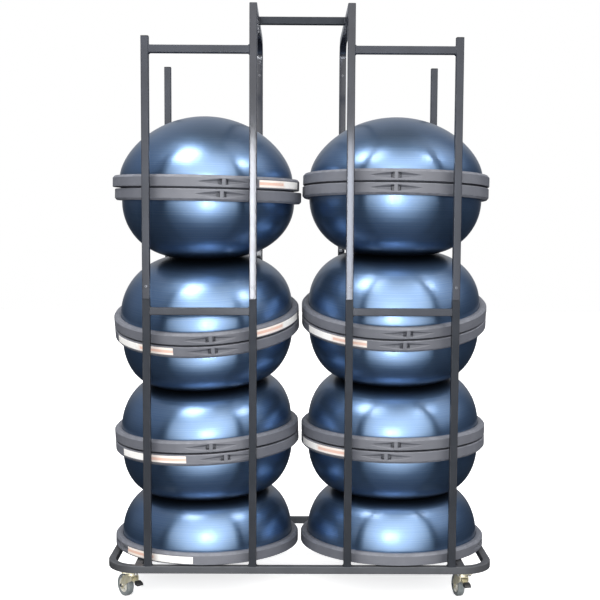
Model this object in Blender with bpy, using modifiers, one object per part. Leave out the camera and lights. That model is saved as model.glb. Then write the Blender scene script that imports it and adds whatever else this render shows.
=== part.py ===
"""Exercise ball rack: a wheeled frame of square steel tube with two bays.

Each bay holds a stack of seven half-ball balance trainers, flat side to flat
side in pairs above one that stands dome up on the base. Metres, +Z up, X along
the rack, the front faces -Y, and the origin is on the floor under the middle.
"""

import math

import bmesh
import bpy
from mathutils import Matrix, Vector

# ---------------------------------------------------------------- dimensions
T = 0.0254              # square tube, outside
WALL = 0.0015           # tube wall
GAP = 0.0003            # clearance between pieces that touch

DEPTH = 0.6604          # frame, front face to back face
RING_X = 0.648          # half the length of the base ring
RING_R = 0.110          # outside corner radius of the base ring
RING_Z0 = 0.1016        # underside of the base ring
RING_Z1 = RING_Z0 + T

POST_X = 0.5158         # outside face of an outer post
HOOP_X = 0.1441         # inside face of a hoop leg
SPLICE_Z = 1.0109       # joint between the lower and the upper frame
POST_TOP = 1.8505       # top of the outer posts with their caps
HOOP_TOP = 1.9546
HOOP_R = 0.075          # outside bend radius of a hoop, at its back
MIDBAR_Z = 0.9583       # underside of the middle crossbars
TOPBAR_Z = 1.7963       # underside of the top crossbars
TIE_Y = -0.1121         # front face of the tie between the hoops
CROSS_X = 0.5372        # centre of the base cross tubes
CAP_T = 0.003

STACK_X = 0.330         # axis of each stack
STACK_Y = -0.0047
RIM_R = 0.325           # platform radius
RIM_T = 0.042           # platform thickness
TRAY_R = 0.301          # inside radius of the platform's rim
TRAY_T = 0.006          # platform floor
DOME_R = 0.3005         # dome radius where it enters the rim
DOME_WALL = 0.004
SKIRT = 0.020           # how far a dome reaches down inside the rim
SEGMENTS = 24

WHEEL_R = 0.0375
TRAIL = 0.038           # from the swivel axis to the wheel's axle
CASTER_Y = 0.2712
# swivel axis, and the way each fork points when the rack stands parked
CASTERS = {
    "front_left": (-0.565, -CASTER_Y, -50.0),
    "front_right": (0.547, -CASTER_Y, -78.0),
    "back_left": (-0.550, CASTER_Y, 143.0),
    "back_right": (0.550, CASTER_Y, 101.0),
}

YF = -DEPTH / 2         # front face of the frame
YB = DEPTH / 2          # back face of the frame

# The pairs from the bottom up: height of the seam, how far the right side and
# then the front hang down (degrees), and how far back the pair has slid. The
# middle pairs are tipped because their fronts are caught under the crossbars.
PAIRS = {
    "left": [(0.5201, -2.5, 3.0, 0.001), (0.9233, -2.4, 11.9, 0.005), (1.3760, 1.0, 1.1, 0.0005)],
    "right": [(0.5261, -0.3, 2.2, 0.001), (0.9489, -0.6, 12.6, 0.009), (1.3882, 0.7, -0.9, 0.0)],
}
# Where neighbouring domes meet, from the bottom up: height of the contact and
# radius of the flat that their weight presses on both.
CONTACTS = {
    "left": [(0.3206, 0.188), (0.7146, 0.180), (1.1468, 0.093)],
    "right": [(0.3247, 0.187), (0.7281, 0.170), (1.1622, 0.117)],
}
TOP_DOME = {"left": 0.2125, "right": 0.2000}   # height of the unloaded domes
# The upper and lower trainers of the left top pair sit a little off each other.
SLIP = {("left", 7): -0.002, ("left", 6): 0.006, ("right", 7): 0.0015}

for old in list(bpy.data.objects):
    bpy.data.objects.remove(old, do_unlink=True)

scene = bpy.context.scene
rack = bpy.data.collections.new("exercise_ball_rack")
scene.collection.children.link(rack)
cutters = bpy.data.collections.new("cutters")
scene.collection.children.link(cutters)


# ---------------------------------------------------------------- materials
def material(name, colour, roughness, metallic=0.0):
    m = bpy.data.materials.new(name)
    m.use_nodes = True
    b = m.node_tree.nodes["Principled BSDF"]
    b.inputs["Base Color"].default_value = (*colour, 1)
    b.inputs["Roughness"].default_value = roughness
    b.inputs["Metallic"].default_value = metallic
    return m


POWDER = material("powder_coat", (0.045, 0.047, 0.052), 0.45)
ZINC = material("zinc", (0.62, 0.58, 0.42), 0.35, 1.0)
STEEL = material("bright_steel", (0.55, 0.55, 0.57), 0.3, 1.0)
RUBBER = material("grey_rubber", (0.23, 0.25, 0.26), 0.7)
BLACK = material("black_plastic", (0.02, 0.02, 0.022), 0.5)
GREY = material("platform_grey", (0.16, 0.16, 0.18), 0.55)
BLUE = material("dome_blue", (0.04, 0.09, 0.24), 0.25)


# ------------------------------------------------------------------- helpers
def link(obj, mat=None, where=rack):
    where.objects.link(obj)
    if mat is not None:
        obj.data.materials.clear()
        obj.data.materials.append(mat)
    return obj


def baked(obj):
    """The evaluated mesh of an object, welded, as a new mesh in its own axes."""
    bpy.context.view_layer.update()
    graph = bpy.context.evaluated_depsgraph_get()
    mesh = bpy.data.meshes.new_from_object(obj.evaluated_get(graph))
    bm = bmesh.new()
    bm.from_mesh(mesh)
    bmesh.ops.remove_doubles(bm, verts=bm.verts, dist=1e-5)
    bmesh.ops.recalc_face_normals(bm, faces=bm.faces)
    bm.to_mesh(mesh)
    bm.free()
    return mesh


def box_mesh(low, high):
    bm = bmesh.new()
    bmesh.ops.create_cube(bm, size=1.0)
    low, high = Vector(low), Vector(high)
    for v in bm.verts:
        v.co = Vector(
            [low[i] + (v.co[i] + 0.5) * (high[i] - low[i]) for i in range(3)]
        )
    mesh = bpy.data.meshes.new("box")
    bm.to_mesh(mesh)
    bm.free()
    return mesh


def prism_mesh(loops, half, to_world):
    """A flat outline, filled and extruded by half each way, then placed."""
    curve = bpy.data.curves.new("outline", "CURVE")
    curve.dimensions = "2D"
    curve.fill_mode = "BOTH"
    curve.extrude = half
    for loop in loops:
        spline = curve.splines.new("POLY")
        spline.points.add(len(loop) - 1)
        for p, (x, y) in zip(spline.points, loop):
            p.co = (x, y, 0, 1)
        spline.use_cyclic_u = True
    temp = bpy.data.objects.new("outline", curve)
    scene.collection.objects.link(temp)
    mesh = baked(temp)
    bpy.data.objects.remove(temp, do_unlink=True)
    mesh.transform(to_world)
    return mesh


def turned_mesh(profile, steps):
    """A profile of (radius, height) points turned once about Z."""
    mesh = bpy.data.meshes.new("profile")
    points = [(r, 0, z) for r, z in profile]
    mesh.from_pydata(points, [(i, i + 1) for i in range(len(points) - 1)], [])
    if profile[0][0] > 0:
        bm = bmesh.new()
        bm.from_mesh(mesh)
        bm.verts.ensure_lookup_table()
        bm.edges.new((bm.verts[-1], bm.verts[0]))
        bm.to_mesh(mesh)
        bm.free()
    temp = bpy.data.objects.new("profile", mesh)
    scene.collection.objects.link(temp)
    screw = temp.modifiers.new("turn", "SCREW")
    screw.axis = "Z"
    screw.angle = 2 * math.pi
    screw.steps = screw.render_steps = steps
    screw.use_merge_vertices = True
    screw.merge_threshold = 0.00001
    out = baked(temp)
    bpy.data.objects.remove(temp, do_unlink=True)
    return out


def joined(name, solids, holes=(), mat=None, solver="EXACT"):
    """The first solid with the others united to it and the holes cut out."""
    obj = link(bpy.data.objects.new(name, solids[0]), mat)
    for operation, meshes in (("UNION", solids[1:]), ("DIFFERENCE", holes)):
        for i, mesh in enumerate(meshes):
            tool = link(
                bpy.data.objects.new(f"{name}_{operation.lower()}_{i}", mesh),
                where=cutters,
            )
            tool.hide_render = True
            tool.display_type = "WIRE"
            boolean = obj.modifiers.new(f"{operation.lower()}_{i}", "BOOLEAN")
            boolean.operation = operation
            boolean.solver = solver
            boolean.object = tool
    return obj


def result(obj):
    """The finished mesh of an object with Boolean modifiers, object removed."""
    mesh = baked(obj)
    bpy.data.objects.remove(obj, do_unlink=True)
    return mesh


def arc(cx, cy, r, start, end, n=8):
    return [
        (
            cx + r * math.cos(math.radians(start + (end - start) * i / n)),
            cy + r * math.sin(math.radians(start + (end - start) * i / n)),
        )
        for i in range(n + 1)
    ]


def rounded(hx, hy, r):
    """A rectangle of half sizes hx, hy with rounded corners."""
    return (
        arc(hx - r, hy - r, r, 0, 90)
        + arc(-hx + r, hy - r, r, 90, 180)
        + arc(-hx + r, -hy + r, r, 180, 270)
        + arc(hx - r, -hy + r, r, 270, 360)
    )


def moved(mesh, x, y, z):
    mesh.transform(Matrix.Translation((x, y, z)))
    return mesh


def cylinder(r, z0, z1, steps=16):
    return turned_mesh([(0, z1), (r, z1), (r, z0), (0, z0)], steps)


# ---------------------------------------------------------------- base frame
ring_body = prism_mesh(
    [rounded(RING_X, DEPTH / 2, RING_R), rounded(RING_X - T, DEPTH / 2 - T, RING_R - T)],
    T / 2,
    Matrix.Translation((0, 0, RING_Z0 + T / 2)),
)
ring_bore = prism_mesh(
    [
        rounded(RING_X - WALL, DEPTH / 2 - WALL, RING_R - WALL),
        rounded(RING_X - T + WALL, DEPTH / 2 - T + WALL, RING_R - T + WALL),
    ],
    T / 2 - WALL,
    Matrix.Translation((0, 0, RING_Z0 + T / 2)),
)
# drain holes in the underside open the bore
drains = [
    moved(cylinder(0.004, RING_Z0 - 0.005, RING_Z0 + 0.010, 8), x, YB - T / 2, 0)
    for x in (-0.30, 0.30)
]
# cross tubes welded between the front and the back of the ring, beside the posts
cross, cross_bores = [], []
weld = YB - T + 0.0008
for s in (-1, 1):
    x0 = s * CROSS_X - T / 2
    cross.append(box_mesh((x0, -weld, RING_Z0), (x0 + T, weld, RING_Z1)))
    cross_bores.append(
        box_mesh((x0 + WALL, -weld - 0.004, RING_Z0 + WALL),
                 (x0 + T - WALL, weld + 0.004, RING_Z1 - WALL))
    )
joined("base_frame", [ring_body] + cross, [ring_bore] + cross_bores + drains, POWDER)


def tube_x(x0, x1, y0, z0, bore=False):
    """A square tube along X, or its bore."""
    w = WALL if bore else 0
    return box_mesh((x0, y0 + w, z0 + w), (x1, y0 + T - w, z0 + T - w))


def tube_z(x0, y0, z0, z1, bore=False):
    w = WALL if bore else 0
    return box_mesh((x0 + w, y0 + w, z0), (x0 + T - w, y0 + T - w, z1))


# ------------------------------------------------------ lower and upper posts
LOW0, LOW1 = RING_Z1 + GAP, SPLICE_Z - GAP / 2
UP0 = SPLICE_Z + GAP / 2
SPIGOT = T / 2 - WALL - GAP      # half the side of a spigot
SPIGOT_Z0, SPIGOT_Z1 = SPLICE_Z - 0.040, SPLICE_Z + 0.060


def lower_post(x, y):
    """A post with a spigot in its top end, and what is bored out of the two."""
    cx, cy = x + T / 2, y + T / 2
    inside = SPIGOT - WALL
    solids = [
        tube_z(x, y, LOW0, LOW1),
        box_mesh((cx - SPIGOT, cy - SPIGOT, SPIGOT_Z0), (cx + SPIGOT, cy + SPIGOT, SPIGOT_Z1)),
    ]
    bores = [
        tube_z(x, y, LOW0 - 0.01, SPIGOT_Z0 - 0.005, True),
        box_mesh((cx - inside, cy - inside, SPIGOT_Z0 - 0.01),
                 (cx + inside, cy + inside, SPIGOT_Z1 + 0.01)),
    ]
    return solids, bores


for side, s in (("left", -1), ("right", 1)):
    outer = s * (POST_X - T / 2) - T / 2        # low X of the outer post
    inner = s * (HOOP_X + T / 2) - T / 2        # low X of the hoop leg
    lo, hi = sorted((outer, inner))
    bar0, bar1 = lo + T, hi                     # between the two posts

    # front: two posts welded to the middle crossbar
    posts = [lower_post(outer, YF), lower_post(inner, YF)]
    joined(
        f"lower_frame_front_{side}",
        posts[0][0] + posts[1][0] + [tube_x(bar0 - 0.0008, bar1 + 0.0008, YF, MIDBAR_Z)],
        posts[0][1] + posts[1][1] + [tube_x(bar0 - 0.01, bar1 + 0.01, YF, MIDBAR_Z, True)],
        POWDER,
    )
    # back: the posts stand on their own, so the trainers' rims pass between them
    for place, x in (("outer", outer), ("inner", inner)):
        solids, bores = lower_post(x, YB - T)
        joined(f"lower_post_back_{side}_{place}", solids, bores, POWDER)
    # upper outer posts, closed at the top
    joined(
        f"upper_post_back_{side}",
        [tube_z(outer, YB - T, UP0, POST_TOP)],
        [tube_z(outer, YB - T, UP0 - 0.01, POST_TOP - CAP_T, True)],
        POWDER,
    )
    # the front one is welded to the top crossbar, whose far end meets the hoop
    if s < 0:
        bar = (outer + T - 0.0008, inner - GAP)
        bar_bore = (outer + T - 0.01, inner + 0.01)
    else:
        bar = (inner + T + GAP, outer + 0.0008)
        bar_bore = (inner + T - 0.01, outer + 0.01)
    joined(
        f"upper_frame_front_{side}",
        [tube_z(outer, YF, UP0, POST_TOP), tube_x(bar[0], bar[1], YF, TOPBAR_Z)],
        [
            tube_z(outer, YF, UP0 - 0.01, POST_TOP - CAP_T, True),
            tube_x(bar_bore[0], bar_bore[1], YF, TOPBAR_Z, True),
        ],
        POWDER,
    )

    # hoop: front leg, mitred to the top run, which is bent down into the back leg
    def hoop(inset, z0):
        hy, top, r = DEPTH / 2 - inset, HOOP_TOP - inset, HOOP_R - inset
        hy2, top2, r2 = DEPTH / 2 - T + inset, HOOP_TOP - T + inset, HOOP_R - T + inset
        return [
            [(hy, z0)]
            + arc(hy - r, top - r, r, 0, 90, 6)
            + [(-hy, top), (-hy, z0), (-hy2, z0), (-hy2, top2)]
            + arc(hy2 - r2, top2 - r2, r2, 90, 0, 6)
            + [(hy2, z0)]
        ]

    # outline axes (Y, Z) go to the rack's Y and Z
    upright = Matrix(((0, 0, 1, 0), (1, 0, 0, 0), (0, 1, 0, 0), (0, 0, 0, 1)))
    place = Matrix.Translation((s * (HOOP_X + T / 2), 0, 0)) @ upright
    joined(
        f"hoop_{side}",
        [prism_mesh(hoop(0, UP0), T / 2, place)],
        [prism_mesh(hoop(WALL, UP0 - 0.02), T / 2 - WALL, place)],
        POWDER,
    )

tie = HOOP_X - GAP
joined(
    "top_tie_bar",
    [tube_x(-tie, tie, TIE_Y, HOOP_TOP - T)],
    [tube_x(-tie - 0.01, tie + 0.01, TIE_Y, HOOP_TOP - T, True)],
    POWDER,
)

# ------------------------------------------------------------------- casters
PLATE_Z = RING_Z0 - GAP          # top of the casters' plates, under the frame
PLATE_T = 0.003


def plate_mesh():
    """Top plate with its raceway boss and kingpin, about the swivel axis."""
    kingpin = turned_mesh(
        [(0, PLATE_Z - 0.001), (0.019, PLATE_Z - 0.001), (0.019, 0.0901), (0.006, 0.0901),
         (0.006, 0.0782), (0.0085, 0.0782), (0.0085, 0.0765), (0, 0.0765)],
        12,
    )
    body = box_mesh((-0.0275, -0.048, PLATE_Z - PLATE_T), (0.0275, 0.048, PLATE_Z))
    return result(joined("plate", [body, kingpin]))


FORK_IN, FORK_OUT = 0.0132, 0.0157
CROWN0, CROWN1 = 0.0785, 0.0810
PIVOT = (0.0150, 0.0690)         # brake pedal pivot, in the fork's own X and Z
# outline axes (x, z) of a fork's own frame, whose +x points away from the wheel
SIDEWAYS = Matrix(((1, 0, 0, 0), (0, 0, -1, 0), (0, 1, 0, 0), (0, 0, 0, 1)))


def across(mesh, x, z):
    """Lay a mesh turned about Z along the fork's Y, centred on x, z."""
    mesh.transform(Matrix.Translation((x, 0, z)) @ Matrix.Rotation(math.pi / 2, 4, "X"))
    return mesh


def fork_mesh(with_pivot):
    side = [
        (0.021, CROWN1), (0.021, 0.0650), (0.012, 0.0600), (-0.006, 0.0520),
    ] + arc(-TRAIL, WHEEL_R, 0.0115, -35, -215, 6) + [(-0.030, CROWN1)]
    solids = [
        box_mesh((-0.030, -FORK_OUT, CROWN0), (0.021, FORK_OUT, CROWN1)),
    ]
    for f in (-1, 1):
        mesh = prism_mesh([side], (FORK_OUT - FORK_IN) / 2, SIDEWAYS)
        solids.append(moved(mesh, 0, f * (FORK_OUT + FORK_IN) / 2, 0))
    solids.append(cylinder(0.021, CROWN1 - 0.001, 0.0897, 14))
    if with_pivot:
        solids.append(across(cylinder(0.0025, -FORK_OUT + 0.0005, FORK_OUT - 0.0005, 8), *PIVOT))
    holes = [
        cylinder(0.0065, CROWN0 - 0.005, 0.095, 12),
        across(cylinder(0.0049, -0.03, 0.03, 12), -TRAIL, WHEEL_R),
    ]
    return result(joined("fork", solids, holes))


def pedal_mesh():
    px, pz = PIVOT
    lever = (
        arc(px, pz, 0.0055, 100, 250, 6)
        + [(0.030, 0.0600), (0.0400, 0.0575), (0.0560, 0.0560), (0.0580, 0.0590),
           (0.0560, 0.0640), (0.0400, 0.0665), (0.030, 0.0690)]
    )
    solids = [
        prism_mesh([lever], 0.0095, SIDEWAYS),
        box_mesh((0.041, -0.0125, 0.0585), (0.0550, 0.0125, 0.0625)),
    ]
    holes = [across(cylinder(0.0029, -0.02, 0.02, 8), *PIVOT)]
    return result(joined("pedal", solids, holes))


wheel = turned_mesh(
    [(0.0049, 0.0125), (0.0120, 0.0125), (0.0145, 0.0098), (0.0290, 0.0098),
     (0.0335, 0.0108), (0.0375, 0.0065), (0.0375, -0.0065), (0.0335, -0.0108),
     (0.0290, -0.0098), (0.0145, -0.0098), (0.0120, -0.0125), (0.0049, -0.0125)],
    20,
)
axle = turned_mesh(
    [(0, 0.0198), (0.0068, 0.0198), (0.0068, 0.0160), (0.0045, 0.0160),
     (0.0045, -0.0160), (0.0068, -0.0160), (0.0068, -0.0198), (0, -0.0198)],
    10,
)
across(wheel, 0, 0)
across(axle, 0, 0)
plate = plate_mesh()
fork_braked, fork_plain, pedal = fork_mesh(True), fork_mesh(False), pedal_mesh()
# a pedal turns about its pivot, so its mesh is kept about it
moved(pedal, -PIVOT[0], 0, -PIVOT[1])
for name, (cx, cy, yaw) in CASTERS.items():
    front = cy < 0
    top = link(bpy.data.objects.new(f"caster_plate_{name}", plate.copy()), ZINC)
    top.location = (cx, cy, 0)
    swivel = bpy.data.objects.new(f"swivel_{name}", None)
    scene.collection.objects.link(swivel)
    swivel.location = (cx, cy, 0)
    swivel.rotation_euler = (0, 0, math.radians(yaw))
    pieces = [
        (f"caster_fork_{name}", fork_braked if front else fork_plain, ZINC, (0, 0, 0)),
        (f"caster_axle_{name}", axle, STEEL, (-TRAIL, 0, WHEEL_R)),
        (f"caster_wheel_{name}", wheel, RUBBER, (-TRAIL, 0, WHEEL_R)),
    ]
    if front:
        pieces.append((f"brake_pedal_{name}", pedal, BLACK, (PIVOT[0], 0, PIVOT[1])))
    for piece, mesh, mat, at in pieces:
        obj = bpy.data.objects.new(piece, mesh.copy())
        link(obj, mat)
        obj.parent = swivel
        obj.location = at

# ----------------------------------------------------------- balance trainers
PLATFORM = turned_mesh(
    [(0, 0.0), (RIM_R - 0.0035, 0.0), (RIM_R, 0.0035), (RIM_R, RIM_T - 0.008),
     (RIM_R - 0.007, RIM_T), (TRAY_R, RIM_T), (TRAY_R, TRAY_T), (0, TRAY_T)][::-1],
    SEGMENTS,
)


def dome_profile(height, flat):
    """Outer wall from the top centre down to the skirt, then the inner wall back."""
    n, m = 4, 3
    thick = DOME_WALL
    outer = [] if flat is None else [(0, height)]
    inner = [] if flat is None else [(0, height - thick)]
    for i in range(n + 1):
        a = math.pi / 2 * i / n
        if flat is None:
            # unloaded: a little more pointed than half an ellipse
            outer.append((DOME_R * math.sin(a), height * max(0.0, math.cos(a)) ** 1.24))
        else:
            outer.append((flat + (DOME_R - flat) * math.sin(a), height * math.cos(a)))
    outer[-1] = (DOME_R, 0.0)
    for i in range(m):
        a = math.pi / 2 * i / m
        start = 0 if flat is None else flat
        power = 1.24 if flat is None else 1
        inner.append((start + (DOME_R - thick - start) * math.sin(a),
                      (height - thick) * math.cos(a) ** power))
    rim = [(DOME_R, -SKIRT), (DOME_R - thick, -SKIRT), (DOME_R - thick, 0.0)]
    return outer + rim + inner[::-1]


def lean_matrix(lean):
    """Right side down by the first angle, then front down by the second."""
    return (
        Matrix.Rotation(math.radians(lean[0]), 3, "Y")
        @ Matrix.Rotation(math.radians(lean[1]), 3, "X")
    )


def dome_mesh(height, flat, rim, lean, up, end, end_lean):
    """A dome that starts square to its own rim and ends flat on its neighbour."""
    mesh = turned_mesh(dome_profile(height, flat), SEGMENTS)
    for v in mesh.vertices:
        x, y, z = v.co
        t = 0.0 if flat is None else min(max(z / height, 0.0), 1.0)
        turn = lean_matrix([a + (b - a) * t for a, b in zip(lean, end_lean)])
        if t > 0:
            v.co = rim.lerp(end, t) + turn @ Vector((x, y, 0))
        else:
            v.co = rim + turn @ Vector((x, y, up * z))
    bm = bmesh.new()
    bm.from_mesh(mesh)
    bmesh.ops.recalc_face_normals(bm, faces=bm.faces)
    bm.to_mesh(mesh)
    bm.free()
    return mesh


for side, s in (("left", -1), ("right", 1)):
    # every trainer's flat side: height, lean, slide, and whether its dome is up
    flats = [(RING_Z1 + GAP, (0.0, 0.0), 0.0, 1)]
    for z, roll, nod, slide in PAIRS[side]:
        flats.append((z, (roll, nod), slide, -1))
        flats.append((z, (roll, nod), slide, 1))
    rims = []
    for i, (z, lean, slide, up) in enumerate(flats):
        turn = lean_matrix(lean)
        axis = turn @ Vector((0, 0, 1)) * up
        foot = Vector((s * STACK_X + SLIP.get((side, i + 1), 0.0), STACK_Y + slide, z))
        if i:
            foot += axis * GAP / 2
        rims.append(foot + axis * RIM_T)
        base = bpy.data.objects.new(f"platform_{side}_{i + 1}", PLATFORM.copy())
        link(base, GREY)
        flip = Matrix.Identity(3) if up > 0 else Matrix.Rotation(math.pi, 3, "X")
        base.matrix_world = Matrix.Translation(foot) @ (turn @ flip).to_4x4()
    for i, (z, lean, slide, up) in enumerate(flats):
        if i == 6:
            shape = dome_mesh(TOP_DOME[side], None, rims[i], lean, up, rims[i], lean)
        else:
            other = i + 1 if up > 0 else i - 1
            height, flat = CONTACTS[side][i // 2 if up > 0 else other // 2]
            end_lean = [(a + b) / 2 for a, b in zip(lean, flats[other][1])]
            end = (rims[i] + rims[other]) / 2
            end.z = height
            end -= lean_matrix(end_lean) @ Vector((0, 0, up * GAP * 0.7))
            shape = dome_mesh(abs(height - rims[i].z), flat, rims[i], lean, up, end, end_lean)
        link(bpy.data.objects.new(f"dome_{side}_{i + 1}", shape), BLUE)

for obj in rack.objects:
    obj.data.set_sharp_from_angle(angle=math.radians(35))
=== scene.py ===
"""Exercise ball rack: the looks of the wheeled steel frame, its casters and the
two stacks of half-ball balance trainers. Metres, +Z up, the front faces -Y."""

import math

import bmesh
import bpy
from mathutils import Matrix, Vector


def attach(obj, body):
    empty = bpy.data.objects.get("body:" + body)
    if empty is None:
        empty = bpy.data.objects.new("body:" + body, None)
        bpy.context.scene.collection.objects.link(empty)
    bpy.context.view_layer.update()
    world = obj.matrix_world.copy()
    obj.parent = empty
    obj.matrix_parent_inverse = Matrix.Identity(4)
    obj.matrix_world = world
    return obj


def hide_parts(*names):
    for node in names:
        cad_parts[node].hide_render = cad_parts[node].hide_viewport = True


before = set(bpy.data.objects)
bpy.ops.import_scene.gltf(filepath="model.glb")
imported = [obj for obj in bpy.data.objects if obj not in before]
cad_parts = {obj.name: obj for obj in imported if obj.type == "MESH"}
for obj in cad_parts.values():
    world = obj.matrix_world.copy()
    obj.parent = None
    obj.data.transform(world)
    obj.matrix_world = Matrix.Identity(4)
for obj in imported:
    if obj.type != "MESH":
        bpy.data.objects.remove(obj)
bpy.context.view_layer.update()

# ------------------------------------------------------- sizes, as in the CAD
T = 0.0254
IN = 0.0003             # the drawn tubes stay this far inside the CAD's faces
HALF = T / 2 - IN
CORNER = 0.0026         # outside corner radius of the square tube
DEPTH = 0.6604
YF, YB = -DEPTH / 2, DEPTH / 2
RING_X, RING_R = 0.648, 0.110
RING_Z0, RING_Z1 = 0.1016, 0.127
POST_X, HOOP_X = 0.5158, 0.1441
SPLICE_Z, POST_TOP = 1.0109, 1.8505
HOOP_TOP, HOOP_R = 1.9546, 0.075
MIDBAR_Z, TOPBAR_Z, TIE_Y = 0.9583, 1.7963, -0.1121
CROSS_X = 0.5372
CAP_T = 0.0032
BOLT_Z = 1.0514

GAP = 0.0003
STACK_X, STACK_Y = 0.330, -0.0047
RIM_R, RIM_T = 0.325, 0.042
TRAY_R, TRAY_T = 0.301, 0.006
DOME_R, SKIRT = 0.3005, 0.020

WHEEL_R, TRAIL, CASTER_Y = 0.0375, 0.038, 0.2712
CASTERS = {
    "front_left": (-0.565, -CASTER_Y, -50.0),
    "front_right": (0.547, -CASTER_Y, -78.0),
    "back_left": (-0.550, CASTER_Y, 143.0),
    "back_right": (0.550, CASTER_Y, 101.0),
}
PIVOT = (0.0150, 0.0690)

PAIRS = {
    "left": [(0.5201, -2.5, 3.0, 0.001), (0.9233, -2.4, 11.9, 0.005), (1.3760, 1.0, 1.1, 0.0005)],
    "right": [(0.5261, -0.3, 2.2, 0.001), (0.9489, -0.6, 12.6, 0.009), (1.3882, 0.7, -0.9, 0.0)],
}
CONTACTS = {
    "left": [(0.3206, 0.188), (0.7146, 0.180), (1.1468, 0.093)],
    "right": [(0.3247, 0.187), (0.7281, 0.170), (1.1622, 0.117)],
}
TOP_DOME = {"left": 0.2125, "right": 0.2000}
SLIP = {("left", 7): -0.002, ("left", 6): 0.006, ("right", 7): 0.0015}

# how far each trainer's hand grip is turned from the front, right positive
GRIPS = {
    "left": [118.0, 14.9, 6.5, 6.9, 5.9, 11.9, 14.4],
    "right": [71.0, -8.7, -3.0, 1.7, 3.6, -4.7, -4.9],
}
# blank paper strips on the rims: side, trainer, from and to angle
STRIPS = [
    ("left", 7, 36.5, 78.5),
    ("left", 5, 34.4, 78.1),
    ("left", 4, -65.6, -16.6),
    ("left", 2, -57.2, -8.3),
    ("left", 1, -52.1, -4.1),
    ("right", 4, -68.1, -20.4),
    ("right", 2, -79.3, -33.9),
]


# ------------------------------------------------------------------ materials
class Shader:
    """A material and short ways to add its nodes."""

    def __init__(self, name):
        self.mat = bpy.data.materials.new(name)
        self.mat.use_nodes = True
        self.tree = self.mat.node_tree
        self.bsdf = self.tree.nodes["Principled BSDF"]
        self.where = self.add("ShaderNodeTexCoord").outputs["Object"]

    def add(self, kind):
        return self.tree.nodes.new(kind)

    def plug(self, value, socket):
        if isinstance(value, bpy.types.NodeSocket):
            self.tree.links.new(value, socket)
        else:
            socket.default_value = value

    def noise(self, scale, detail=3.0, rough=0.55, stretch=None):
        n = self.add("ShaderNodeTexNoise")
        n.inputs["Scale"].default_value = scale
        n.inputs["Detail"].default_value = detail
        n.inputs["Roughness"].default_value = rough
        place = self.where
        if stretch:
            m = self.add("ShaderNodeMapping")
            m.inputs["Scale"].default_value = stretch
            self.tree.links.new(self.where, m.inputs["Vector"])
            place = m.outputs["Vector"]
        self.tree.links.new(place, n.inputs["Vector"])
        return n.outputs["Fac"]

    def cells(self, scale, feature="F1"):
        n = self.add("ShaderNodeTexVoronoi")
        n.feature = feature
        n.inputs["Scale"].default_value = scale
        self.tree.links.new(self.where, n.inputs["Vector"])
        return n.outputs["Distance"]

    def bands(self, value, scale, detail=2.0):
        """One-dimensional noise along a value."""
        n = self.add("ShaderNodeTexNoise")
        n.noise_dimensions = "1D"
        n.inputs["Scale"].default_value = scale
        n.inputs["Detail"].default_value = detail
        self.tree.links.new(value, n.inputs["W"])
        return n.outputs["Fac"]

    def stored(self, name):
        n = self.add("ShaderNodeAttribute")
        n.attribute_name = name
        return n.outputs["Fac"]

    def maths(self, operation, *values):
        n = self.add("ShaderNodeMath")
        n.operation = operation
        for i, v in enumerate(values):
            self.plug(v, n.inputs[i])
        return n.outputs[0]

    def spread(self, value, low, high, out_low=0.0, out_high=1.0):
        n = self.add("ShaderNodeMapRange")
        n.interpolation_type = "SMOOTHSTEP"
        self.plug(value, n.inputs["Value"])
        for key, v in (("From Min", low), ("From Max", high), ("To Min", out_low), ("To Max", out_high)):
            n.inputs[key].default_value = v
        return n.outputs["Result"]

    def mix(self, amount, a, b):
        n = self.add("ShaderNodeMix")
        n.data_type = "RGBA"
        self.plug(amount, n.inputs["Factor"])
        for value, socket in ((a, n.inputs[6]), (b, n.inputs[7])):
            self.plug((*value, 1.0) if isinstance(value, tuple) else value, socket)
        return n.outputs[2]

    def bump(self, height, strength, distance, under=None):
        n = self.add("ShaderNodeBump")
        n.inputs["Strength"].default_value = strength
        n.inputs["Distance"].default_value = distance
        self.tree.links.new(height, n.inputs["Height"])
        if under is not None:
            self.tree.links.new(under, n.inputs["Normal"])
        return n.outputs["Normal"]

    def finish(self, colour, roughness, normal=None, **fixed):
        self.plug(colour, self.bsdf.inputs["Base Color"])
        self.plug(roughness, self.bsdf.inputs["Roughness"])
        if normal is not None:
            self.tree.links.new(normal, self.bsdf.inputs["Normal"])
        for key, value in fixed.items():
            self.bsdf.inputs[key.replace("_", " ")].default_value = value
        return self.mat


def powder_coat(name, dark, light, gloss, coat, coat_roughness, rough=(0.36, 0.5), dented=0.10):
    """Baked powder coat: orange peel, faint dust, thin and shiny on the corners."""
    s = Shader(name)
    cloud = s.noise(9.0, 4)
    speck = s.noise(420.0, 2)
    colour = s.mix(s.spread(cloud, 0.3, 0.7), dark, light)
    colour = s.mix(s.spread(speck, 0.62, 0.78, 0.0, 0.25), colour, tuple(c + 0.035 for c in light))
    worn = s.maths("MULTIPLY", s.stored("edge"), s.spread(s.noise(38.0, 5), 0.42, 0.66, 0.15, 0.75))
    colour = s.mix(worn, colour, tuple(c + 0.045 for c in light))
    streak = s.noise(14.0, 4, 0.6, (1, 1, 0.12))
    roughness = s.spread(streak, 0.3, 0.7, *rough)
    peel = s.bump(s.noise(620.0, 2, 0.4), 0.22, 0.0006)
    dents = s.bump(s.noise(26.0, 2, 0.4), dented, 0.002, peel)
    return s.finish(
        colour, roughness, dents, Specular_IOR_Level=gloss, Specular_Tint=(0.76, 0.86, 1.0, 1.0),
        Coat_Weight=coat, Coat_Roughness=coat_roughness,
    )


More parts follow.
